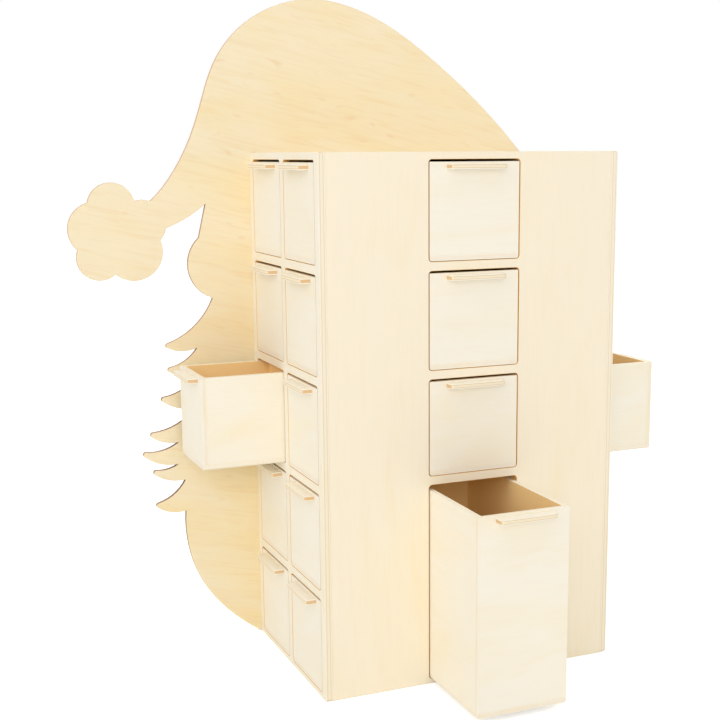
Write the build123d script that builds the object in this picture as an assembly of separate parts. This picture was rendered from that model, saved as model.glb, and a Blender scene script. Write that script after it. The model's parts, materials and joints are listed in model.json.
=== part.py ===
from build123d import *

import os

# A wooden advent calendar: a plywood cabinet of 24 sliding drawers, open on three sides, glued to a
# backboard cut to the outline of a bearded head in a floppy hat. Sizes are in millimetres. It stands
# on Z = 0, its front faces -Y, and the origin is the middle of the cabinet's underside.

# Plywood sheets
carcass_ply = 4.0
backboard_ply = 3.0
floor_ply = 3.0
drawer_ply = 3.0

# Cells that the drawers run in
row_count = 5
cell_height = 54.6
rail = 5.0  # wood left between one row of openings and the next
stile = 6.0  # wood left beside each column of openings in a side panel
centre_cell_width = 55.4
side_cell_width = 51.0
opening_corner = 2.0
panel_corner = 1.5  # rounding of the side panels' corners
lap_play = 0.2  # play in the cross-halvings of shelves and dividers

# Drawers
side_drawer_depth = 57.5
side_gap = 0.6
foot_gap = 0.3
head_gap = 1.3
tall_head_gap = 3.0
back_gap = 1.2
lower_edge_radius = 1.4

# Length of each open drawer that is still inside
left_kept_in = 9.0
centre_kept_in = 58.8
right_kept_in = 25.5

# Pull tabs
pull_length = 34.0
pull_reach = 6.0
pull_drop = 1.0  # from the drawer's top edge down to the tab
pull_corner = 2.0

# Head outline
beard_overhang = 71.8  # from a side of the cabinet out to the widest part of the beard
hat_rise = 90.0  # from the cabinet's top up to the crown of the hat
tuft_tip_radius = 1.5

# The outline's points are shares of half the head's width and of its height.
temple_top = (-0.729, 0.693)
temple_foot = (-0.758, 0.642)
ear_middle = (-0.802, 0.604)
ear_foot = (-0.713, 0.549)
tufts = [  # tip, then the notch under it, from the cheek down
    ((-0.908, 0.480), (-0.778, 0.473)),
    ((-0.903, 0.444), (-0.783, 0.430)),
    ((-0.931, 0.399), (-0.791, 0.380)),
    ((-0.977, 0.345), (-0.860, 0.327)),
    ((-1.013, 0.318), (-0.864, 0.292)),
    ((-0.982, 0.289), (-0.839, 0.266)),
    ((-0.963, 0.231), (-0.841, 0.216)),
]
tuft_hollow = 0.12  # rise of a tuft's upper edge, as a share of its chord
tuft_belly = 0.13  # and of its lower edge
beard_side = [(-0.839, 0.169), (-0.788, 0.099), (-0.691, 0.044), (-0.562, 0.0)]
hat_crown = [
    (-0.841, 0.743),
    (-0.751, 0.821),
    (-0.670, 0.911),
    (-0.467, 0.985),
    (-0.313, 1.0),
    (-0.099, 0.984),
    (0.179, 0.917),
    (0.443, 0.825),
]
bobble_start = (-0.931, 0.699)
bobble_lobes = [  # middle and end of each lobe, round from the upper side of the hat's tail
    ((-0.966, 0.701), (-0.988, 0.699)),
    ((-1.072, 0.727), (-1.155, 0.698)),
    ((-1.227, 0.662), (-1.196, 0.629)),
    ((-1.167, 0.589), (-1.066, 0.591)),
    ((-0.945, 0.586), (-0.899, 0.640)),
    ((-0.884, 0.650), (-0.876, 0.658)),
]
tail_middle = (-0.815, 0.669)

# Sizes that follow
side_bay = side_drawer_depth + back_gap  # from a side panel's outer face to the partition
cabinet_width = centre_cell_width + 2 * (carcass_ply + side_bay)
cabinet_depth = 2 * side_cell_width + 3 * stile
cabinet_height = carcass_ply + floor_ply + row_count * cell_height + (row_count - 1) * rail
row_pitch = cell_height + rail
tall_cell_height = row_pitch + cell_height
column_pitch = side_cell_width + stile
half_head = cabinet_width / 2 + beard_overhang
head_height = cabinet_height + hat_rise

# Faces that the inner panels meet
side_inner_x = cabinet_width / 2 - carcass_ply
partition_inner_x = centre_cell_width / 2
partition_outer_x = partition_inner_x + carcass_ply
front_inner_y = carcass_ply - cabinet_depth / 2
back_y = cabinet_depth / 2
top_inner_z = cabinet_height - carcass_ply


def slab(x, y, z):
    """A flat rectangular panel between two limits along each axis."""
    low = (x[0], y[0], z[0])
    sizes = (x[1] - x[0], y[1] - y[0], z[1] - z[0])
    return Pos(*low) * Box(*sizes, align=(Align.MIN, Align.MIN, Align.MIN))


def row_floor(row):
    """Height of the floor of a row of cells. Row 1 is the highest."""
    return floor_ply + (row_count - row) * row_pitch


def mirrored(shape):
    """The same piece for the right-hand side."""
    return mirror(shape, about=Plane.YZ)


def side_panel():
    """Left side of the cabinet, with two columns of drawer openings."""
    face = Plane(origin=(-cabinet_width / 2, 0, 0), x_dir=(0, 1, 0), z_dir=(1, 0, 0))
    aligned = (Align.CENTER, Align.MIN)
    outline = RectangleRounded(cabinet_depth, cabinet_height, panel_corner, align=aligned)
    opening = RectangleRounded(side_cell_width, cell_height, opening_corner)
    grid = GridLocations(column_pitch, row_pitch, 2, row_count)
    middle = (floor_ply + top_inner_z) / 2
    outline -= [Pos(0, middle) * place * opening for place in grid]
    return extrude(face * outline, carcass_ply)


def front_panel():
    """Front between the side panels: single openings over one of double height."""
    face = Plane.XZ.offset(-front_inner_y)
    outline = Rectangle(2 * side_inner_x, cabinet_height, align=(Align.CENTER, Align.MIN))
    for floor, height in centre_cells().values():
        opening = RectangleRounded(centre_cell_width, height, opening_corner)
        outline -= Pos(0, floor + height / 2) * opening
    return extrude(face * outline, carcass_ply)


def centre_cells():
    """Floor and height of each cell of the front column, by name from the top down."""
    cells = {f"centre_row{row}": (row_floor(row), cell_height) for row in range(1, row_count - 1)}
    cells["centre_tall"] = (row_floor(row_count), tall_cell_height)
    return cells


def side_shelves():
    """Shelves of the left bay, each slotted from its outer edge for the column divider."""
    bay_middle = -(side_inner_x + partition_outer_x) / 2
    slot_half = (carcass_ply + lap_play) / 2
    shelves = []
    for row in range(1, row_count):
        height = (row_floor(row) - carcass_ply, row_floor(row))
        shelf = slab((-side_inner_x, -partition_outer_x), (front_inner_y, back_y), height)
        shelf -= slab((-side_inner_x, bay_middle + lap_play / 2), (-slot_half, slot_half), height)
        shelves.append(shelf)
    return shelves


def column_divider():
    """Upright between the two columns of the left bay, slotted from its inner edge for the shelves."""
    bay_middle = -(side_inner_x + partition_outer_x) / 2
    thickness = (-carcass_ply / 2, carcass_ply / 2)
    divider = slab((-side_inner_x, -partition_outer_x), thickness, (floor_ply, top_inner_z))
    for row in range(1, row_count):
        slot_foot = row_floor(row) - carcass_ply - lap_play / 2
        slot = (slot_foot, slot_foot + carcass_ply + lap_play)
        divider -= slab((bay_middle - lap_play / 2, -partition_outer_x), thickness, slot)
    return divider


def centre_shelves():
    """Shelves of the front column, under its single cells."""
    shelves = []
    for row in range(1, row_count - 1):
        height = (row_floor(row) - carcass_ply, row_floor(row))
        shelf = slab((-partition_inner_x, partition_inner_x), (front_inner_y, back_y), height)
        shelves.append(shelf)
    return shelves


def on_board(point):
    """A point of the head outline at its real size, on the backboard's plane."""
    across, up = point
    return Vector(across * half_head, up * head_height)


def beard_half():
    """Edges of the head's left side, from the temple down to the flat foot, and the tuft tips."""
    edges = [
        Line(on_board(temple_top), on_board(temple_foot)),
        ThreePointArc(on_board(temple_foot), on_board(ear_middle), on_board(ear_foot)),
    ]
    tips = []
    start = on_board(ear_foot)
    for tip, notch in tufts:
        tip, notch = on_board(tip), on_board(notch)
        edges.append(SagittaArc(start, tip, tuft_hollow * (tip - start).length))
        edges.append(SagittaArc(tip, notch, -tuft_belly * (notch - tip).length))
        tips.append(tip)
        start = notch
    edges.append(Spline(start, *[on_board(point) for point in beard_side]))
    return edges, tips


def hat_edges():
    """Edges of the hat from the left temple round its bobble and crown to the right temple."""
    tail_foot = on_board(bobble_lobes[-1][1])
    edges = [ThreePointArc(on_board(temple_top), on_board(tail_middle), tail_foot)]
    start = on_board(bobble_start)
    for middle, end in bobble_lobes:
        edges.append(ThreePointArc(start, on_board(middle), on_board(end)))
        start = on_board(end)
    right_temple = (-temple_top[0], temple_top[1])
    crown = [on_board(point) for point in (bobble_start, *hat_crown, right_temple)]
    edges.append(Spline(*crown))
    return edges


def backboard():
    """Flat board behind the cabinet, cut to the head's outline and standing on its beard."""
    left_edges, tips = beard_half()
    right_edges = [mirrored(edge) for edge in left_edges]
    foot_end = on_board(beard_side[-1])
    foot = Line(foot_end, (-foot_end.X, foot_end.Y))
    outline = make_face([*left_edges, *right_edges, *hat_edges(), foot])
    tips += [Vector(-tip.X, tip.Y) for tip in tips]
    corners = [outline.vertices().sort_by_distance(tip)[0] for tip in tips]
    outline = fillet(corners, tuft_tip_radius)
    return extrude(Plane.XZ.offset(-back_y - backboard_ply) * outline, backboard_ply)


def drawer_box(width, depth, height):
    """Five glued panels of a drawer that opens toward -Y, standing on z = 0 with its front on y = 0."""
    half = width / 2
    wall = (drawer_ply, height)
    section = Rectangle(width, drawer_ply, align=(Align.CENTER, Align.MIN))
    section = fillet(section.vertices().group_by(Axis.Y)[0], min(lower_edge_radius, drawer_ply / 2))
    bottom = extrude(Plane.XZ * section, -depth)
    front = slab((-half, half), (0, drawer_ply), wall)
    back = slab((-half, half), (depth - drawer_ply, depth), wall)
    side = slab((-half, drawer_ply - half), (drawer_ply, depth - drawer_ply), wall)
    return [bottom, front, back, side, mirrored(side)]


def pull_tab(height):
    """Tab glued to the front of a drawer of the given height, with rounded outer corners."""
    plan = Rectangle(pull_length, pull_reach, align=(Align.CENTER, Align.MAX))
    plan = fillet(plan.vertices().group_by(Axis.Y)[0], pull_corner)
    return extrude(Pos(0, 0, height - pull_drop - drawer_ply) * plan, drawer_ply)


def drawer(name, place, width, depth, height):
    """The two nodes of one drawer, set in place."""
    box = Compound(children=[place * panel for panel in drawer_box(width, depth, height)])
    return {f"{name}_drawer": box, f"{name}_pull": place * pull_tab(height)}


def side_drawers(side, outward):
    """Drawers of one side of the cabinet, two columns of five."""
    nodes = {}
    width = side_cell_width - 2 * side_gap
    height = cell_height - foot_gap - head_gap
    kept_in = {"left_row3_back": left_kept_in, "right_row3_front": right_kept_in}
    for row in range(1, row_count + 1):
        for column, column_y in (("front", -column_pitch / 2), ("back", column_pitch / 2)):
            name = f"{side}_row{row}_{column}"
            pulled_out = side_drawer_depth - kept_in.get(name, side_drawer_depth)
            front_x = outward * (cabinet_width / 2 + pulled_out)
            place = Pos(front_x, column_y, row_floor(row) + foot_gap) * Rot(0, 0, 90 * outward)
            nodes |= drawer(name, place, width, side_drawer_depth, height)
    return nodes


def centre_drawers():
    """Drawers of the front column, the lowest of double height and pulled out."""
    nodes = {}
    width = centre_cell_width - 2 * side_gap
    depth = cabinet_depth - back_gap
    for name, (floor, cell) in centre_cells().items():
        tall = name == "centre_tall"
        height = cell - foot_gap - (tall_head_gap if tall else head_gap)
        front_y = -cabinet_depth / 2 - (depth - centre_kept_in if tall else 0.0)
        nodes |= drawer(name, Pos(0, front_y, floor + foot_gap), width, depth, height)
    return nodes


def carcass():
    """The fixed panels, by node name."""
    depth = (front_inner_y, back_y)
    between = (floor_ply, top_inner_z)
    left_panel = side_panel()
    left_shelves = side_shelves()
    left_divider = column_divider()
    left_partition = slab((-partition_outer_x, -partition_inner_x), depth, between)
    return {
        "backboard": backboard(),
        "left_side_panel": left_panel,
        "right_side_panel": mirrored(left_panel),
        "front_panel": front_panel(),
        "top_panel": slab((-side_inner_x, side_inner_x), depth, (top_inner_z, cabinet_height)),
        "bottom_panel": slab((-side_inner_x, side_inner_x), depth, (0, floor_ply)),
        "left_partition": left_partition,
        "right_partition": mirrored(left_partition),
        "left_shelves": Compound(children=left_shelves),
        "right_shelves": Compound(children=[mirrored(shelf) for shelf in left_shelves]),
        "centre_shelves": Compound(children=centre_shelves()),
        "column_dividers": Compound(children=[left_divider, mirrored(left_divider)]),
    }


def main():
    """Write each node to its own file."""
    os.makedirs("parts", exist_ok=True)
    nodes = carcass() | side_drawers("left", -1) | centre_drawers() | side_drawers("right", 1)
    for name, shape in nodes.items():
        shape.label = name
        export_step(shape, f"parts/{name}.step")


main()
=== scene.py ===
import json
import math

import bmesh
import bpy
import numpy as np
from mathutils import Color, Matrix, Vector

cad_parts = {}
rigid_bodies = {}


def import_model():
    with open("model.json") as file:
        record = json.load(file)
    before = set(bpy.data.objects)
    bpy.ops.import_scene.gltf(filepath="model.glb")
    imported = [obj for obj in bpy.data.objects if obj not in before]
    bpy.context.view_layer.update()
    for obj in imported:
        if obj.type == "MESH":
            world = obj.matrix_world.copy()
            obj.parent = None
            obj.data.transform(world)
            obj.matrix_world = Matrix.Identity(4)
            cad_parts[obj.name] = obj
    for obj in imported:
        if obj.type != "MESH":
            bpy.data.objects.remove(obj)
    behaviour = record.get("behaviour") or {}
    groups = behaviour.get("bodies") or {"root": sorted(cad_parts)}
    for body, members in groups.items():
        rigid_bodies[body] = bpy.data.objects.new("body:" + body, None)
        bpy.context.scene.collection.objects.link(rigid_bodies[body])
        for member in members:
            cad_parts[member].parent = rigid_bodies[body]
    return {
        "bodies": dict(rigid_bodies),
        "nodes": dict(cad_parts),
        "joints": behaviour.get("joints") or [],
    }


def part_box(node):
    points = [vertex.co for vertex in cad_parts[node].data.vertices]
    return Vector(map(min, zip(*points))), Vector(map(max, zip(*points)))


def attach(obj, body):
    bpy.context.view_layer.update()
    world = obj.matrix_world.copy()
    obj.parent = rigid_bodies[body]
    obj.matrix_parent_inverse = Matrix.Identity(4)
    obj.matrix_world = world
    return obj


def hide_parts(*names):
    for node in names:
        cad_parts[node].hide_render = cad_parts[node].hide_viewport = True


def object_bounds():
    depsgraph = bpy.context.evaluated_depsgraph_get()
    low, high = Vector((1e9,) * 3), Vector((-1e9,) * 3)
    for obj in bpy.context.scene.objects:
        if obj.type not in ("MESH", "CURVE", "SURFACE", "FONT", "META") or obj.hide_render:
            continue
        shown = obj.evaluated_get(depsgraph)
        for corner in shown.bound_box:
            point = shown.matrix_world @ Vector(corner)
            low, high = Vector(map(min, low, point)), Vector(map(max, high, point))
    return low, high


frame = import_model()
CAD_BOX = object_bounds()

bl_info = {
    "name": "Wooden advent calendar",
    "version": (1, 0, 0),
    "blender": (4, 5, 0),
    "location": "3D View > Sidebar > Calendar",
    "description": "Finishes a plywood advent calendar, a cabinet of small drawers before a cut-out head",
    "category": "Object",
}

# The whole object is in metres; sizes below are written in millimetres times MM.
MM = 0.001

# Two points of a panel closer than this are one point.
WELD = 0.001 * MM
# A made piece may differ from the part that it stands for by no more than this.
FIT = 0.05 * MM
# A cut edge farther than this inside a sheet's box is the edge of an opening.
RIM = 1 * MM
# The floor lies this far under the calendar, so that the two don't share a plane.
FLOOR_GAP = 0.1 * MM

# Axes as numbers, for grain directions and sheet thicknesses
X, Y, Z = 0, 1, 2

# Grain of each panel's face veneer: the first of these axes that lies in its sheet
UPRIGHT = (Z, X)
LEVEL = (X, Y)

# How much of a face's normal has to lie along an axis: for a flat face of a sheet, for one that may slope,
# and for a cut across the grain
FLAT, FACING, CROSS_CUT = 0.98, 0.5, 0.7

# Panels of the cabinet's inside, hidden but for what the gaps and open drawers show
INNER_PANELS = (
    "top_panel",
    "bottom_panel",
    "left_partition",
    "right_partition",
    "left_shelves",
    "right_shelves",
    "centre_shelves",
    "column_dividers",
)

CABINET_BODY = "cabinet"
DRAWER_BODIES = sorted(name for name in frame["bodies"] if name.endswith("_drawer"))

# Each sheet is cut from its own place in the veneer, up to this many metres off, and is up to this much
# warmer than the palest sheet. The drawers' and the tabs' random numbers start from seeds of their own.
VENEER_SHIFT = 1.0
TONE_RANGE = 0.25
DRAWER_SEED, PULL_SEED = 100, 200

# Three plies: the core takes the middle half of a sheet, so the glue lines lie a quarter in from each face
GLUE_DEPTH = 0.25

# Painted shade on the backboard where the cabinet shades it, in millimetres: from none at the first distance
# off its middle line to full at the second, and from weak at the first height to strong at the second
SHADE_REACH = (175, 95)
SHADE_HEIGHT = (300, 180)
SHADE_WARMTH = (0.12, 0.32)

# How dark the laser left the backboard's edge, by height in millimetres, and by distance off the middle line,
# where the notches between the tufts are darker than the tips. The bobble's edge, beyond this distance and
# above this height, is only scorched.
BURN_HEIGHTS, BURN_AT_HEIGHT = (40, 85, 155, 172, 268, 276), (0, 1, 1, 0.45, 0.45, 0)
BURN_REACHES, BURN_AT_REACH = (132, 160), (1, 0.45)
BOBBLE_REACH, BOBBLE_FOOT = 136, 215

# Camera of the view from the front left, a little above the middle of the cabinet
CAMERA_PLACE = Vector((-313.4, -683.9, 298.9)) * MM
CAMERA_YAW = math.radians(23.276)
CAMERA_PITCH = math.radians(-10.328)
CAMERA_ROLL = math.radians(-0.292)
CAMERA_SENSOR = 36.0
CAMERA_FOCAL_PIXELS = 1270.6
CAMERA_CENTRE_PIXELS = (399.9, 385.4)
IMAGE_PIXELS = 720

# Softboxes: place and width in metres, and the setting that holds the power
SOFTBOXES = {
    "Front light": ((-0.8, -2.0, 0.9), 0.8, "front_power"),
    "Top light": ((-0.2, -0.6, 2.2), 1.0, "top_power"),
    "Side light": ((-2.2, -0.9, 1.7), 2.0, "side_power"),
    "Back light": ((1.9, 1.6, 1.6), 2.0, "back_power"),
}


def linear(hex_colour):
    """Linear RGB of an sRGB colour written as #rrggbb."""
    shares = [int(hex_colour[i:i + 2], 16) / 255 for i in (1, 3, 5)]
    return [c / 12.92 if c <= 0.04045 else ((c + 0.055) / 1.055) ** 2.4 for c in shares]


def colour_property(name, description, hex_colour):
    """A colour that a user may change, with its default written in sRGB."""
    colour = linear(hex_colour)
    return bpy.props.FloatVectorProperty(
        name=name, description=description, subtype="COLOR", size=3, min=0, max=1, default=colour
    )


def length_property(name, description, millimetres):
    """A length that a user may change, with its default written in millimetres."""
    return bpy.props.FloatProperty(
        name=name, description=description, unit="LENGTH", min=0, default=millimetres * MM
    )


def share_property(name, description, share):
    """A share from 0 to 1 that a user may change."""
    return bpy.props.FloatProperty(
        name=name, description=description, subtype="FACTOR", min=0, max=1, default=share
    )


def power_property(name, description, watts):
    """A lamp's power that a user may change."""
    return bpy.props.FloatProperty(name=name, description=description, unit="POWER", min=0, default=watts)


class PlywoodSettings(bpy.types.PropertyGroup):
    """Colours and sizes of the calendar's plywood."""

    cream: colour_property("Cream veneer", "Face veneer of the front panel and the inner panels", "#faeed5")
    cream_warm: colour_property("Warm cream veneer", "Warmer patches of that veneer", "#f9e8c2")
    pale: colour_property("Pale veneer", "Face veneer of the side panels, drawers and pull tabs", "#f9f2e1")
    pale_warm: colour_property("Warm pale veneer", "Warmer patches of that veneer", "#f9edd0")
    yellow: colour_property("Yellow veneer", "Face veneer of the backboard", "#f7e8c6")
    # On the backboard this colour also lays the painted shade beside and below the cabinet
    yellow_warm: colour_property("Warm yellow veneer", "Warmer patches of that veneer", "#f8e1ab")
    # Painted shade: this colour stands for the warm shade inside the drawers and the cabinet
    inside: colour_property("Painted inside shade", "Painted warm shade inside drawers and cabinet", "#ffdd9f")
    streak: colour_property("Streaks", "Darker growth lines along the grain", "#ecc98c")
    fleck: colour_property("Flecks", "Small knots", "#e2a95f")
    core: colour_property("Core ply", "Middle ply where a cut edge shows it", "#f4e5c4")
    core_end: colour_property("Core ply at ends", "Middle ply where a cut end shows it", "#dba760")
    glue: colour_property("Glue line", "Thin line between two plies", "#e0bb80")
    # Painted shade: this colour stands for the warm shade in the narrow gaps round the drawers
    opening: colour_property("Opening edge", "Painted warm shade on the edge of a drawer opening", "#f2c070")
    scorched: colour_property("Scorched edge", "Edge of the backboard, browned by the laser", "#d8b494")
    burnt: colour_property("Burnt edge", "That edge where the laser slowed down", "#84583e")
    edge_softness: length_property("Edge softness", "Radius that sanding leaves on a panel's edges", 0.2)
    corner_softness: length_property("Corner softness", "Radius left on a drawer's glued corners", 0.1)
    fibre_depth: length_property("Fibre depth", "Height of the fibres on a sanded face", 0.02)
    grain_slant: bpy.props.FloatProperty(
        name="Grain slant",
        description="How far the backboard's grain is off level",
        subtype="ANGLE",
        default=math.radians(13),
    )
    roughness: share_property("Roughness", "Roughness of bare sanded wood", 0.62)


class StudioSettings(bpy.types.PropertyGroup):
    """Floor and light of the studio."""

    floor: colour_property("Floor", "Pale floor that the calendar stands on", "#f4f4f4")
    floor_reach: length_property("Floor reach", "Half the floor's width", 12000)
    floor_lift: share_property("Floor lift", "White added to the lit floor where the camera sees it", 0.45)
    surround: share_property("Surround", "Strength of the light from all round", 0.7)
    front_power: power_property("Front light", "Power of the softbox beside the camera", 7.6)
    top_power: power_property("Top light", "Power of the softbox overhead", 3.0)
    side_power: power_property("Side light", "Power of the softbox at the left", 13.5)
    back_power: power_property("Back light", "Power of the softbox behind at the right", 22.0)


# Node trees


def add(tree, kind, inputs=(), **settings):
    """Add a node, make its settings, and fill or link its inputs, given by name or number."""
    made = tree.nodes.new(kind)
    for name, value in settings.items():
        setattr(made, name, value)
    for name, value in dict(inputs).items():
        if isinstance(value, bpy.types.NodeSocket):
            tree.links.new(value, made.inputs[name])
        elif isinstance(value, Color):
            made.inputs[name].default_value = (*value, 1.0)
        else:
            made.inputs[name].default_value = value
    return made


# Plywood materials


def figure(tree, grain, along, across, detail=2.0, distortion=0.0):
    """Wood figure: noise drawn out along the grain, with patches of the given size in millimetres."""
    through = across
    scale = [1 / (size * MM) for size in (along, across, through)]
    stretched = add(tree, "ShaderNodeVectorMath", {0: grain, 1: scale}, operation="MULTIPLY")
    noise = add(
        tree,
        "ShaderNodeTexNoise",
        {"Vector": stretched.outputs[0], "Scale": 1.0, "Detail": detail, "Distortion": distortion},
    )
    return noise.outputs["Fac"]


def tinted(tree, colour, tint, mask, low=0.0, high=1.0, share=1.0):
    """A colour with a tint laid over it, by a share that grows as a mask goes from low to high."""
    cover = add(
        tree,
        "ShaderNodeMapRange",
        {"Value": mask, "From Min": low, "From Max": high, "To Max": share},
        interpolation_type="SMOOTHSTEP",
    )
    laid = add(tree, "ShaderNodeMix", {"Factor": cover.outputs[0], 6: colour, 7: tint}, data_type="RGBA")
    return laid.outputs[2]


def plywood(name, wood, face, warm, streak_share, ply_share, backboard=False):
    """Bare three-ply wood, sanded: pale veneer with faint figure, and the plies on its cut edges.

    The figure and the plies follow attributes of the mesh: grain, the place along, across and through the
    sheet; ply, from 0 on one of its faces to 1 on the other; end, 1 where a cut goes across the grain; inner,
    1 on the inside of a box, where painted shade is laid; opening, 1 on the edge of an opening, where painted
    shade is laid; tone, how warm this sheet is; and burn, how dark the backboard's edge is.
    """
    material = bpy.data.materials.new(name)
    material.use_nodes = True
    tree = material.node_tree
    tree.nodes.clear()
    grain = add(tree, "ShaderNodeAttribute", attribute_name="grain").outputs["Vector"]
    ply, end, inner, opening, tone = [
        add(tree, "ShaderNodeAttribute", attribute_name=attribute).outputs["Fac"]
        for attribute in ("ply", "end", "inner", "opening", "tone")
    ]
    if backboard:
        # Laid out askew on its sheet, so that the grain falls to the right
        turn = {"Vector": grain, "Angle": wood.grain_slant}
        grain = add(tree, "ShaderNodeVectorRotate", turn, rotation_type="Z_AXIS").outputs[0]

    # Rotary-cut veneer: broad warm and pale patches, then growth streaks
    patches_and_shade = figure(tree, grain, along=70, across=26, distortion=0.8)
    patches_and_shade = add(tree, "ShaderNodeMath", {0: patches_and_shade, 1: tone}, operation="ADD").outputs[0]
    # Painted shade: warmer toward the middle and the foot, where the cabinet shades the backboard
    if backboard:
        patches_and_shade = add(tree, "ShaderNodeMath", {0: patches_and_shade, 1: cabinet_shade(tree)}, operation="ADD").outputs[0]
    colour = tinted(tree, face, warm, patches_and_shade, low=0.45, high=1.2)
    streaks = figure(tree, grain, along=32, across=2.4, detail=3.0, distortion=0.9)
    colour = tinted(tree, colour, wood.streak, streaks, low=0.42, high=0.8, share=streak_share)
    if backboard:
        knots = figure(tree, grain, along=9, across=3.6, detail=0.0)
        colour = tinted(tree, colour, wood.fleck, knots, low=0.72, high=0.95, share=0.25)
    # Painted shade: the inside of a box is laid over in a warmer, more orange colour that stands for its
    # shade
    colour = tinted(tree, colour, wood.inside, inner)

    # Plies on a cut edge: the core, darker where it is cut across, and a thin glue line on each side of it
    off_face = add(tree, "ShaderNodeMath", {0: ply, 1: 0.5}, operation="PINGPONG").outputs[0]
    off_glue = add(tree, "ShaderNodeMath", {0: off_face, 1: GLUE_DEPTH}, operation="SUBTRACT")
    off_glue = add(tree, "ShaderNodeMath", {0: off_glue.outputs[0]}, operation="ABSOLUTE").outputs[0]
    core = tinted(tree, wood.core, wood.core_end, end)
    colour = tinted(tree, colour, core, off_face, GLUE_DEPTH - 0.02, GLUE_DEPTH + 0.02, ply_share)
    colour = tinted(tree, colour, wood.glue, off_glue, low=0.09, high=0.03, share=ply_share)
    # Painted shade: the edges of the drawer openings are laid over in tan, for the warm shade in the gaps
    # round the drawers
    colour = tinted(tree, colour, wood.opening, opening)

    if backboard:
        # The laser leaves a brown edge, darker where it slowed down
        burn = add(tree, "ShaderNodeAttribute", attribute_name="burn").outputs["Fac"]
        brown = tinted(tree, wood.scorched, wood.burnt, burn)
        colour = tinted(tree, colour, brown, off_face, high=0.05)

    # Fibres stand up a little on a sanded face; drawn 0.5 mm wide, coarser than real, so that they show
    fibres = figure(tree, grain, along=9, across=0.5)
    bump = add(tree, "ShaderNodeBump", {"Height": fibres, "Strength": 0.5, "Distance": wood.fibre_depth})
    surface = add(
        tree,
        "ShaderNodeBsdfPrincipled",
        {"Base Color": colour, "Roughness": wood.roughness, "IOR": 1.5, "Normal": bump.outputs[0]},
    )
    add(tree, "ShaderNodeOutputMaterial", {"Surface": surface.outputs[0]})
    return material


def cabinet_shade(tree):
    """Painted shade: how much warmer the backboard grows toward its middle and foot, in the cabinet's shade.
    """
    place = add(tree, "ShaderNodeTexCoord").outputs["Object"]
    place = add(tree, "ShaderNodeSeparateXYZ", {0: place}).outputs
    off_middle = add(tree, "ShaderNodeMath", {0: place["X"]}, operation="ABSOLUTE").outputs[0]
    none, full = [reach * MM for reach in SHADE_REACH]
    high, low = [height * MM for height in SHADE_HEIGHT]
    weak, strong = SHADE_WARMTH
    to_middle = add(tree, "ShaderNodeMapRange", {"Value": off_middle, "From Min": none, "From Max": full})
    to_foot = add(
        tree,
        "ShaderNodeMapRange",
        {"Value": place["Z"], "From Min": high, "From Max": low, "To Min": weak, "To Max": strong},
    )
    both = {0: to_middle.outputs[0], 1: to_foot.outputs[0]}
    return add(tree, "ShaderNodeMath", both, operation="MULTIPLY").outputs[0]


def cream_plywood(wood):
    """Plywood of the front and the inner panels."""
    # Rotary-cut poplar, sanded: matt cream, with hardly more figure than a faint upright grain
    name = "Poplar plywood, sanded"
    made = bpy.data.materials.get(name)
    return made or plywood(name, wood, wood.cream, wood.cream_warm, streak_share=0.07, ply_share=0.5)


def side_plywood(wood):
    """Plywood of the side panels."""
    # The same poplar in a paler veneer, with tan lines where the front edges show the plies
    name = "Poplar plywood, pale and sanded"
    made = bpy.data.materials.get(name)
    return made or plywood(name, wood, wood.pale, wood.pale_warm, streak_share=0.06, ply_share=0.45)


def drawer_plywood(wood):
    """Plywood of the drawers."""
    # Pale poplar again, its thin edges sanded until the plies hardly show
    name = "Poplar plywood, pale with smooth edges"
    made = bpy.data.materials.get(name)
    return made or plywood(name, wood, wood.pale, wood.pale_warm, streak_share=0.06, ply_share=0.1)


def pull_plywood(wood):
    """Plywood of the pull tabs."""
    # Pale poplar sawn into narrow strips, which show their plies all round and tan ends
    name = "Poplar plywood, sawn strip"
    made = bpy.data.materials.get(name)
    return made or plywood(name, wood, wood.pale, wood.pale_warm, streak_share=0.06, ply_share=0.75)


def backboard_plywood(wood):
    """Plywood of the backboard."""
    # Birch, yellower and livelier: long streaks, small knots, and the brown edge that a laser leaves
    name = "Birch plywood, laser cut"
    made = bpy.data.materials.get(name)
    return made or plywood(
        name, wood, wood.yellow, wood.yellow_warm, streak_share=0.29, ply_share=0.6, backboard=True
    )


# Pieces


def sheets(mesh):
    """Numbers of the vertices of each separate sheet of a mesh."""
    owner = list(range(len(mesh.vertices)))

    def root(i):
        while owner[i] != i:
            owner[i] = owner[owner[i]]
            i = owner[i]
        return i

    for edge in mesh.edges:
        a, b = (root(i) for i in edge.vertices)
        owner[a] = b
    groups = {}
    for i in range(len(owner)):
        groups.setdefault(root(i), []).append(i)
    return list(groups.values())


def store(mesh, name, kind, domain, values):
    """Store one value per point or face on a mesh."""
    layer = mesh.attributes.new(name, kind, domain)
    field = "vector" if kind == "FLOAT_VECTOR" else "value"
    layer.data.foreach_set(field, np.ravel(values).astype(np.float32))


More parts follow.
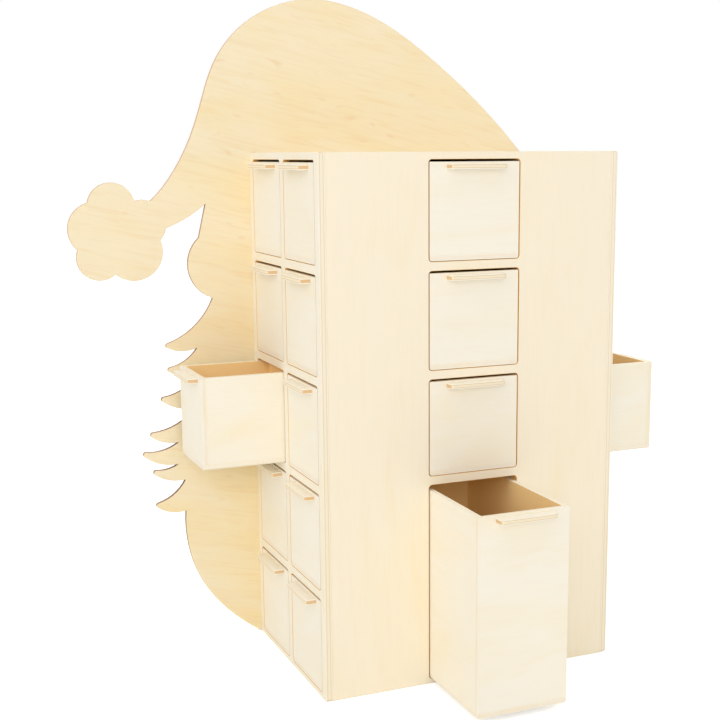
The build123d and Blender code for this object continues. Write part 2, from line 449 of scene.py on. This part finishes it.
def mark_plies(mesh, directions, seed, box_middle=None):
    """Store on the mesh what the plywood materials follow: grain, ply, tone, end and two masks of painted
    shade.

    Faces toward box_middle are the inside of a box, where painted shade is laid; so are cut faces round an
    opening.
    """
    points = np.empty(len(mesh.vertices) * 3)
    mesh.vertices.foreach_get("co", points)
    points = points.reshape(-1, 3)
    chance = np.random.default_rng(seed)
    grain = np.zeros_like(points)
    ply, tone = np.zeros(len(points)), np.zeros(len(points))
    sheet_of = np.zeros(len(points), int)
    limits = []
    for number, group in enumerate(sorted(sheets(mesh), key=min)):
        low, high = points[group].min(0), points[group].max(0)
        through = int(np.argmin(high - low))
        along = next(axis for axis in directions if axis != through)
        across = 3 - through - along
        shift = chance.uniform(-VENEER_SHIFT, VENEER_SHIFT, 3)
        grain[group] = points[group][:, [along, across, through]] + shift
        ply[group] = (points[group][:, through] - low[through]) / (high - low)[through]
        tone[group] = chance.uniform(0, TONE_RANGE)
        sheet_of[group] = number
        limits.append((low, high, through, along))
    end, inner, opening = np.zeros((3, len(mesh.polygons)))
    for face in mesh.polygons:
        low, high, through, along = limits[sheet_of[face.vertices[0]]]
        end[face.index] = abs(face.normal[along]) > CROSS_CUT
        if box_middle is None:
            continue
        middle = np.array(face.center)
        rim = min(np.delete(np.minimum(middle - low, high - middle), through))
        inward = (box_middle[through] - (low + high)[through] / 2) * face.normal[through]
        facing = abs(face.normal[through])
        # Masks of painted shade: faces toward the box's middle, and cut faces round an opening
        inner[face.index] = inward > 0 and facing > FACING
        opening[face.index] = rim > RIM and facing < FLAT
    store(mesh, "grain", "FLOAT_VECTOR", "POINT", grain)
    store(mesh, "ply", "FLOAT", "POINT", ply)
    store(mesh, "tone", "FLOAT", "POINT", tone)
    store(mesh, "end", "FLOAT", "FACE", end)
    store(mesh, "inner", "FLOAT", "FACE", inner)
    store(mesh, "opening", "FLOAT", "FACE", opening)


def mark_burns(mesh):
    """Store how dark the laser burnt the backboard's edge: most in the notches between the tufts."""
    burn = np.zeros(len(mesh.vertices))
    for vertex in mesh.vertices:
        x, _, z = vertex.co / MM
        on_bobble = abs(x) > BOBBLE_REACH and z > BOBBLE_FOOT
        at_height = np.interp(z, BURN_HEIGHTS, BURN_AT_HEIGHT)
        at_reach = np.interp(abs(x), BURN_REACHES, BURN_AT_REACH)
        burn[vertex.index] = 0.0 if on_bobble else at_height * at_reach
    store(mesh, "burn", "FLOAT", "POINT", burn)


def soften(piece, radius):
    """Add the sanded edge that every piece has, with flat faces left flat."""
    bevel = piece.modifiers.new("Sanded edges", "BEVEL")
    bevel.width = radius
    bevel.segments = 2
    bevel.limit_method = "ANGLE"
    bevel.angle_limit = math.radians(30)
    bevel.harden_normals = True
    # The same width all along, also beside the short edges of rounded corners
    bevel.use_clamp_overlap = False
    bevel.loop_slide = False


def settle(context, piece):
    """Turn a piece with modifiers into a plain mesh."""
    depsgraph = context.evaluated_depsgraph_get()
    mesh = bpy.data.meshes.new_from_object(piece.evaluated_get(depsgraph), depsgraph=depsgraph)
    piece.modifiers.clear()
    mesh.name = piece.name
    piece.data = mesh


def hand_over(piece, body, node):
    """Put a finished piece in the place of a part, on the body that carries it."""
    points = np.array([vertex.co for vertex in piece.data.vertices])
    low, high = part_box(node)
    worst = max(np.abs(points.min(0) - low).max(), np.abs(points.max(0) - high).max())
    if worst > FIT:
        raise RuntimeError(f"{piece.name} misses {node} by {worst / MM:.2f} mm")
    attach(piece, body)
    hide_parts(node)


def finished_panel(context, node, directions, material, box_middle=None):
    """A panel of the cabinet or the backboard, with its flat faces whole and its edges sanded."""
    wood = context.scene.calendar_plywood
    source = frame["nodes"][node].data
    mesh = bpy.data.meshes.new(f"{node}_sheet")
    mesh.from_pydata([v.co for v in source.vertices], [], [p.vertices for p in source.polygons])
    shape = bmesh.new()
    shape.from_mesh(mesh)
    bmesh.ops.remove_doubles(shape, verts=shape.verts, dist=WELD)
    flat = math.radians(0.5)
    bmesh.ops.dissolve_limit(shape, angle_limit=flat, verts=shape.verts, edges=shape.edges)
    for face in shape.faces:
        face.smooth = True
    shape.to_mesh(mesh)
    shape.free()
    piece = bpy.data.objects.new(f"{node}_sheet", mesh)
    context.scene.collection.objects.link(piece)
    soften(piece, wood.edge_softness)
    settle(context, piece)
    mark_plies(piece.data, directions, sorted(frame["nodes"]).index(node), box_middle)
    piece.data.materials.append(material)
    hand_over(piece, CABINET_BODY, node)
    return piece


def cabinet_middle():
    """The middle of the cabinet's inside."""
    low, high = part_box("left_side_panel")
    return (0.0, (low.y + high.y) / 2, (low.z + high.z) / 2)


class CALENDAR_OT_backboard(bpy.types.Operator):
    """Finish the backboard, cut to the outline of a bearded head in a floppy hat"""

    bl_idname = "calendar.backboard"
    bl_label = "Backboard"

    def execute(self, context):
        material = backboard_plywood(context.scene.calendar_plywood)
        piece = finished_panel(context, "backboard", LEVEL, material)
        mark_burns(piece.data)
        return {"FINISHED"}


class CALENDAR_OT_side_panels(bpy.types.Operator):
    """Finish the two side panels with their drawer openings"""

    bl_idname = "calendar.side_panels"
    bl_label = "Side panels"

    def execute(self, context):
        material = side_plywood(context.scene.calendar_plywood)
        for node in ("left_side_panel", "right_side_panel"):
            finished_panel(context, node, UPRIGHT, material, cabinet_middle())
        return {"FINISHED"}


class CALENDAR_OT_front_panel(bpy.types.Operator):
    """Finish the front panel between the side panels"""

    bl_idname = "calendar.front_panel"
    bl_label = "Front panel"

    def execute(self, context):
        material = cream_plywood(context.scene.calendar_plywood)
        finished_panel(context, "front_panel", UPRIGHT, material, cabinet_middle())
        return {"FINISHED"}


class CALENDAR_OT_inner_panels(bpy.types.Operator):
    """Finish the top, the bottom, the partitions, the shelves and the column dividers"""

    bl_idname = "calendar.inner_panels"
    bl_label = "Inner panels"

    def execute(self, context):
        material = cream_plywood(context.scene.calendar_plywood)
        for node in INNER_PANELS:
            piece = finished_panel(context, node, UPRIGHT, material, cabinet_middle())
            # The top and the bottom have a sanded outside; the others have bays on both sides
            if node not in ("top_panel", "bottom_panel"):
                # Painted shade: every face of a partition, shelf or divider takes the inside colour
                piece.data.attributes["inner"].data.foreach_set("value", [1.0] * len(piece.data.polygons))
        return {"FINISHED"}


# Drawers and pull tabs, made by Geometry Nodes


def rounded_strip_tree():
    """Node group: a strip that stands along +Z from z = 0, its two long edges on the +Y side rounded."""
    tree = bpy.data.node_groups.new("Rounded strip", "GeometryNodeTree")
    for name in ("Width", "Height", "Corner Radius", "Length"):
        tree.interface.new_socket(name, in_out="INPUT", socket_type="NodeSocketFloat")
    tree.interface.new_socket("Geometry", in_out="OUTPUT", socket_type="NodeSocketGeometry")
    sizes = add(tree, "NodeGroupInput").outputs
    section = add(
        tree,
        "GeometryNodeCurvePrimitiveQuadrilateral",
        {"Width": sizes["Width"], "Height": sizes["Height"]},
    )
    place = add(tree, "GeometryNodeInputPosition")
    place = add(tree, "ShaderNodeSeparateXYZ", {0: place.outputs[0]})
    chosen = add(tree, "ShaderNodeMath", {0: place.outputs["Y"], 1: 0.0}, operation="GREATER_THAN")
    radius = add(
        tree, "ShaderNodeMath", {0: chosen.outputs[0], 1: sizes["Corner Radius"]}, operation="MULTIPLY"
    )
    rounded = add(
        tree,
        "GeometryNodeFilletCurve",
        {"Curve": section.outputs[0], "Radius": radius.outputs[0], "Count": 6},
        mode="POLY",
    )
    face = add(tree, "GeometryNodeFillCurve", {"Curve": rounded.outputs[0]}, mode="NGONS")
    length = add(tree, "ShaderNodeCombineXYZ", {"Z": sizes["Length"]})
    body = add(
        tree,
        "GeometryNodeExtrudeMesh",
        {"Mesh": face.outputs[0], "Offset": length.outputs[0], "Individual": False},
    )
    back = add(tree, "GeometryNodeFlipFaces", {"Mesh": face.outputs[0]})
    both = add(tree, "GeometryNodeJoinGeometry")
    tree.links.new(body.outputs["Mesh"], both.inputs[0])
    tree.links.new(back.outputs[0], both.inputs[0])
    closed = add(tree, "GeometryNodeMergeByDistance", {"Geometry": both.outputs[0], "Distance": WELD})
    add(tree, "NodeGroupOutput", {0: closed.outputs[0]})
    return tree


def ending(tree, geometry, sizes):
    """Finish a tree: turn and place the shape, realise it and give it its material."""
    turned = add(
        tree,
        "GeometryNodeTransform",
        {"Geometry": geometry, "Translation": sizes["Place"], "Rotation": sizes["Turn"]},
    )
    smooth = add(tree, "GeometryNodeSetShadeSmooth", {"Geometry": turned.outputs[0]})
    real = add(tree, "GeometryNodeRealizeInstances", {0: smooth.outputs[0]})
    painted = add(
        tree, "GeometryNodeSetMaterial", {"Geometry": real.outputs[0], "Material": sizes["Material"]}
    )
    add(tree, "NodeGroupOutput", {0: painted.outputs[0]})


def new_piece_tree(name, lengths):
    """An empty tree with inputs for the given lengths, its place, its turn and its material."""
    tree = bpy.data.node_groups.new(name, "GeometryNodeTree")
    for length in lengths:
        tree.interface.new_socket(length, in_out="INPUT", socket_type="NodeSocketFloat")
    tree.interface.new_socket("Place", in_out="INPUT", socket_type="NodeSocketVector")
    tree.interface.new_socket("Turn", in_out="INPUT", socket_type="NodeSocketVector")
    tree.interface.new_socket("Material", in_out="INPUT", socket_type="NodeSocketMaterial")
    tree.interface.new_socket("Geometry", in_out="OUTPUT", socket_type="NodeSocketGeometry")
    return tree, add(tree, "NodeGroupInput").outputs


# Upright panels of a drawer: size and middle, each as shares of the drawer's width, depth and height and then
# of its wall thickness. The front is on y = 0, and the bottom panel takes the lowest wall thickness.
DRAWER_WALLS = {
    "front": (((1, 0, 1), (0, 1, -1)), ((0, 0, 0.5), (0, 0.5, 0.5))),
    "back": (((1, 0, 1), (0, 1, -1)), ((0, 1, 0.5), (0, -0.5, 0.5))),
    "left side": (((0, 1, 1), (1, -2, -1)), ((-0.5, 0.5, 0.5), (0.5, 0, 0.5))),
    "right side": (((0, 1, 1), (1, -2, -1)), ((0.5, 0.5, 0.5), (-0.5, 0, 0.5))),
}


def drawer_tree(strip):
    """Tree of a drawer: a bottom with rounded lower edges, and four upright walls glued on it."""
    lengths = ("Width", "Depth", "Height", "Wall", "Lower Edge Radius")
    tree, sizes = new_piece_tree("Drawer", lengths)
    outside = add(
        tree, "ShaderNodeCombineXYZ", {"X": sizes["Width"], "Y": sizes["Depth"], "Z": sizes["Height"]}
    ).outputs[0]
    wall = add(
        tree, "ShaderNodeCombineXYZ", {"X": sizes["Wall"], "Y": sizes["Wall"], "Z": sizes["Wall"]}
    ).outputs[0]
    joined = add(tree, "GeometryNodeJoinGeometry")
    for shares in DRAWER_WALLS.values():
        vectors = []
        for of_outside, of_wall in shares:
            share = add(tree, "ShaderNodeVectorMath", {0: outside, 1: of_outside}, operation="MULTIPLY")
            terms = {0: wall, 1: of_wall, 2: share.outputs[0]}
            vectors.append(add(tree, "ShaderNodeVectorMath", terms, operation="MULTIPLY_ADD").outputs[0])
        size, middle = vectors
        panel = add(tree, "GeometryNodeMeshCube", {"Size": size}).outputs["Mesh"]
        placed = add(tree, "GeometryNodeTransform", {"Geometry": panel, "Translation": middle})
        tree.links.new(placed.outputs[0], joined.inputs[0])
    bottom = add(
        tree,
        "GeometryNodeGroup",
        {
            "Width": sizes["Width"],
            "Height": sizes["Wall"],
            "Corner Radius": sizes["Lower Edge Radius"],
            "Length": sizes["Depth"],
        },
        node_tree=strip,
    )
    lift = add(tree, "ShaderNodeVectorMath", {0: wall, 1: (0, 0, 0.5)}, operation="MULTIPLY")
    laid = add(
        tree,
        "GeometryNodeTransform",
        {"Geometry": bottom.outputs[0], "Rotation": (-math.pi / 2, 0, 0), "Translation": lift.outputs[0]},
    )
    tree.links.new(laid.outputs[0], joined.inputs[0])
    ending(tree, joined.outputs[0], sizes)
    return tree


def pull_tree(strip):
    """Tree of a pull tab: a short strip of the same plywood with two rounded outer corners."""
    tree, sizes = new_piece_tree("Pull tab", ("Length", "Reach", "Thickness", "Corner Radius"))
    tab = add(
        tree,
        "GeometryNodeGroup",
        {
            "Width": sizes["Length"],
            "Height": sizes["Reach"],
            "Corner Radius": sizes["Corner Radius"],
            "Length": sizes["Thickness"],
        },
        node_tree=strip,
    )
    faced = add(tree, "GeometryNodeTransform", {"Geometry": tab.outputs[0], "Rotation": (0, 0, math.pi)})
    ending(tree, faced.outputs[0], sizes)
    return tree


def grown(context, name, tree, values, softness):
    """A piece made by a tree with the given input values, as a plain mesh with sanded edges."""
    piece = bpy.data.objects.new(name, bpy.data.meshes.new(name))
    nodes = piece.modifiers.new("Shape", "NODES")
    nodes.node_group = tree
    for socket in tree.interface.items_tree:
        if socket.in_out == "INPUT":
            nodes[socket.identifier] = values[socket.name]
    soften(piece, softness)
    context.scene.collection.objects.link(piece)
    settle(context, piece)
    return piece


def outward(body):
    """The way that a drawer opens, as an axis number and a sign."""
    joint = next(joint for joint in frame["joints"] if joint["child"] == body)
    axis = int(np.argmax(np.abs(joint["axis"])))
    return axis, int(np.sign(joint["axis"][axis]))


def quarter_turn(axis, sign):
    """Turn about Z that brings a drawer made to open toward -Y to its own way of opening."""
    if axis == X:
        return sign * math.pi / 2
    return 0.0 if sign < 0 else math.pi


def drawer_sizes(body):
    """Width, depth, height and wall thickness of a drawer, read from its parts."""
    axis, _ = outward(body)
    low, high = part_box(body)
    size = high - low
    # The pull tab is cut from the same sheet as the walls, so it is as thick as they are
    tab_low, tab_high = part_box(body.replace("_drawer", "_pull"))
    return size[1 - axis], size[axis], size.z, tab_high.z - tab_low.z


class CALENDAR_OT_drawers(bpy.types.Operator):
    """Make the drawers: five panels of thin plywood each, glued into an open box"""

    bl_idname = "calendar.drawers"
    bl_label = "Drawers"

    lower_edge_radius: length_property("Lower edge radius", "Rounding of the drawer's lower edges", 1.4)

    def execute(self, context):
        wood = context.scene.calendar_plywood
        material = drawer_plywood(wood)
        tree = drawer_tree(bpy.data.node_groups.get("Rounded strip") or rounded_strip_tree())
        for number, body in enumerate(DRAWER_BODIES):
            axis, sign = outward(body)
            low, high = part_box(body)
            place = (low + high) / 2
            place[axis] = high[axis] if sign > 0 else low[axis]
            place.z = low.z
            width, depth, height, wall = drawer_sizes(body)
            values = {
                "Width": width,
                "Depth": depth,
                "Height": height,
                "Wall": wall,
                "Lower Edge Radius": self.lower_edge_radius,
                "Place": place,
                "Turn": (0, 0, quarter_turn(axis, sign)),
                "Material": material,
            }
            piece = grown(context, body.replace("_drawer", "_box"), tree, values, wood.corner_softness)
            mark_plies(piece.data, (axis, 1 - axis), DRAWER_SEED + number, (low + high) / 2)
            hand_over(piece, body, body)
        return {"FINISHED"}


class CALENDAR_OT_pull_tabs(bpy.types.Operator):
    """Make the pull tabs that are glued to the drawers' fronts"""

    bl_idname = "calendar.pull_tabs"
    bl_label = "Pull tabs"

    corner_radius: length_property("Corner radius", "Rounding of the tab's outer corners", 2.0)

    def execute(self, context):
        wood = context.scene.calendar_plywood
        material = pull_plywood(wood)
        tree = pull_tree(bpy.data.node_groups.get("Rounded strip") or rounded_strip_tree())
        for number, body in enumerate(DRAWER_BODIES):
            node = body.replace("_drawer", "_pull")
            axis, sign = outward(body)
            low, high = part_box(node)
            place = (low + high) / 2
            place.z = low.z
            values = {
                "Length": high[1 - axis] - low[1 - axis],
                "Reach": high[axis] - low[axis],
                "Thickness": high.z - low.z,
                "Corner Radius": self.corner_radius,
                "Place": place,
                "Turn": (0, 0, quarter_turn(axis, sign)),
                "Material": material,
            }
            piece = grown(context, body.replace("_drawer", "_tab"), tree, values, wood.edge_softness)
            mark_plies(piece.data, (1 - axis, axis), PULL_SEED + number)
            hand_over(piece, body, node)
        return {"FINISHED"}


# Studio


def white_to_camera(tree):
    """1 for rays that look at the background straight, in a reflection or through glass."""
    path = add(tree, "ShaderNodeLightPath").outputs
    seen = add(
        tree, "ShaderNodeMath", {0: path["Is Camera Ray"], 1: path["Is Glossy Ray"]}, operation="MAXIMUM"
    )
    seen = add(
        tree, "ShaderNodeMath", {0: seen.outputs[0], 1: path["Is Transmission Ray"]}, operation="MAXIMUM"
    )
    return seen.outputs[0]


def floor_material(studio):
    """Matt white paper: it takes the object's shadow, and is white where none falls."""
    material = bpy.data.materials.new("White paper")
    material.use_nodes = True
    tree = material.node_tree
    tree.nodes.clear()
    paper = add(tree, "ShaderNodeBsdfDiffuse", {"Color": studio.floor})
    factors = {0: white_to_camera(tree), 1: studio.floor_lift}
    lift = add(tree, "ShaderNodeMath", factors, operation="MULTIPLY")
    glow = add(tree, "ShaderNodeEmission", {"Strength": lift.outputs[0]})
    both = add(tree, "ShaderNodeAddShader", {0: paper.outputs[0], 1: glow.outputs[0]})
    add(tree, "ShaderNodeOutputMaterial", {"Surface": both.outputs[0]})
    return material


def studio_world(studio):
    """Even white surround: plain light on the object, and pure white behind it."""
    world = bpy.data.worlds.new("White surround")
    world.use_nodes = True
    tree = world.node_tree
    tree.nodes.clear()
    light = add(tree, "ShaderNodeBackground", {"Color": (1, 1, 1, 1), "Strength": studio.surround})
    white = add(tree, "ShaderNodeBackground", {"Color": (1, 1, 1, 1), "Strength": 1.0})
    both = add(
        tree, "ShaderNodeMixShader", {0: white_to_camera(tree), 1: light.outputs[0], 2: white.outputs[0]}
    )
    add(tree, "ShaderNodeOutputWorld", {"Surface": both.outputs[0]})
    return world


def softbox(context, name, place, target, size, power):
    """A square soft lamp at a place, aimed at a target."""
    lamp = bpy.data.lights.new(name, "AREA")
    lamp.size = size
    lamp.energy = power
    holder = bpy.data.objects.new(name, lamp)
    holder.location = place
    holder.rotation_euler = (Vector(target) - Vector(place)).to_track_quat("-Z", "Y").to_euler()
    context.scene.collection.objects.link(holder)


def photo_camera(context):
    """Camera at the photograph's angle, with its picture's centre a little off the lens axis."""
    ahead = Vector(
        (
            math.sin(CAMERA_YAW) * math.cos(CAMERA_PITCH),
            math.cos(CAMERA_YAW) * math.cos(CAMERA_PITCH),
            math.sin(CAMERA_PITCH),
        )
    )
    level = Vector((math.cos(CAMERA_YAW), -math.sin(CAMERA_YAW), 0))
    over = level.cross(ahead)
    right = level * math.cos(CAMERA_ROLL) + over * math.sin(CAMERA_ROLL)
    up = over * math.cos(CAMERA_ROLL) - level * math.sin(CAMERA_ROLL)
    data = bpy.data.cameras.new("Camera")
    data.sensor_width = CAMERA_SENSOR
    data.lens = CAMERA_SENSOR * CAMERA_FOCAL_PIXELS / IMAGE_PIXELS
    data.shift_x = 0.5 - CAMERA_CENTRE_PIXELS[0] / IMAGE_PIXELS
    data.shift_y = CAMERA_CENTRE_PIXELS[1] / IMAGE_PIXELS - 0.5
    data.clip_start = 10 * MM
    camera = bpy.data.objects.new("Camera", data)
    turn = Matrix((right, up, -ahead)).transposed().to_4x4()
    camera.matrix_world = Matrix.Translation(CAMERA_PLACE) @ turn
    context.scene.collection.objects.link(camera)
    context.scene.camera = camera


class CALENDAR_OT_stage(bpy.types.Operator):
    """Set up the pale floor, the soft light and the camera"""

    bl_idname = "calendar.stage"
    bl_label = "Stage"

    def execute(self, context):
        studio = context.scene.calendar_studio
        reach = studio.floor_reach
        mesh = bpy.data.meshes.new("floor")
        corners = [(-reach, -reach), (reach, -reach), (reach, reach), (-reach, reach)]
        mesh.from_pydata([(x, y, -FLOOR_GAP) for x, y in corners], [], [(0, 1, 2, 3)])
        mesh.materials.append(floor_material(studio))
        floor = bpy.data.objects.new("floor", mesh)
        context.scene.collection.objects.link(floor)
        context.scene.world = studio_world(studio)
        middle = (CAD_BOX[0] + CAD_BOX[1]) / 2
        for name, (place, width, power) in SOFTBOXES.items():
            softbox(context, name, place, middle, width, getattr(studio, power))
        photo_camera(context)
        context.scene.view_settings.view_transform = "Standard"
        return {"FINISHED"}


class CALENDAR_PT_sidebar(bpy.types.Panel):
    """The calendar's pieces and finishes in the 3D view's sidebar"""

    bl_idname = "CALENDAR_PT_sidebar"
    bl_label = "Advent calendar"
    bl_space_type = "VIEW_3D"
    bl_region_type = "UI"
    bl_category = "Calendar"

    def draw(self, context):
        for operator in OPERATORS:
            self.layout.operator(operator.bl_idname)
        for settings in (context.scene.calendar_plywood, context.scene.calendar_studio):
            for name in type(settings).__annotations__:
                self.layout.prop(settings, name)


OPERATORS = (
    CALENDAR_OT_stage,
    CALENDAR_OT_backboard,
    CALENDAR_OT_side_panels,
    CALENDAR_OT_front_panel,
    CALENDAR_OT_inner_panels,
    CALENDAR_OT_drawers,
    CALENDAR_OT_pull_tabs,
)
CLASSES = (PlywoodSettings, StudioSettings, *OPERATORS, CALENDAR_PT_sidebar)


def register():
    for cls in CLASSES:
        bpy.utils.register_class(cls)
    bpy.types.Scene.calendar_plywood = bpy.props.PointerProperty(type=PlywoodSettings)
    bpy.types.Scene.calendar_studio = bpy.props.PointerProperty(type=StudioSettings)


def unregister():
    del bpy.types.Scene.calendar_studio
    del bpy.types.Scene.calendar_plywood
    for cls in reversed(CLASSES):
        bpy.utils.unregister_class(cls)


def main():
    register()
    bpy.ops.calendar.stage()
    bpy.ops.calendar.backboard()
    bpy.ops.calendar.side_panels()
    bpy.ops.calendar.front_panel()
    bpy.ops.calendar.inner_panels()
    bpy.ops.calendar.drawers()
    bpy.ops.calendar.pull_tabs()


if __name__ == "__main__":
    main()
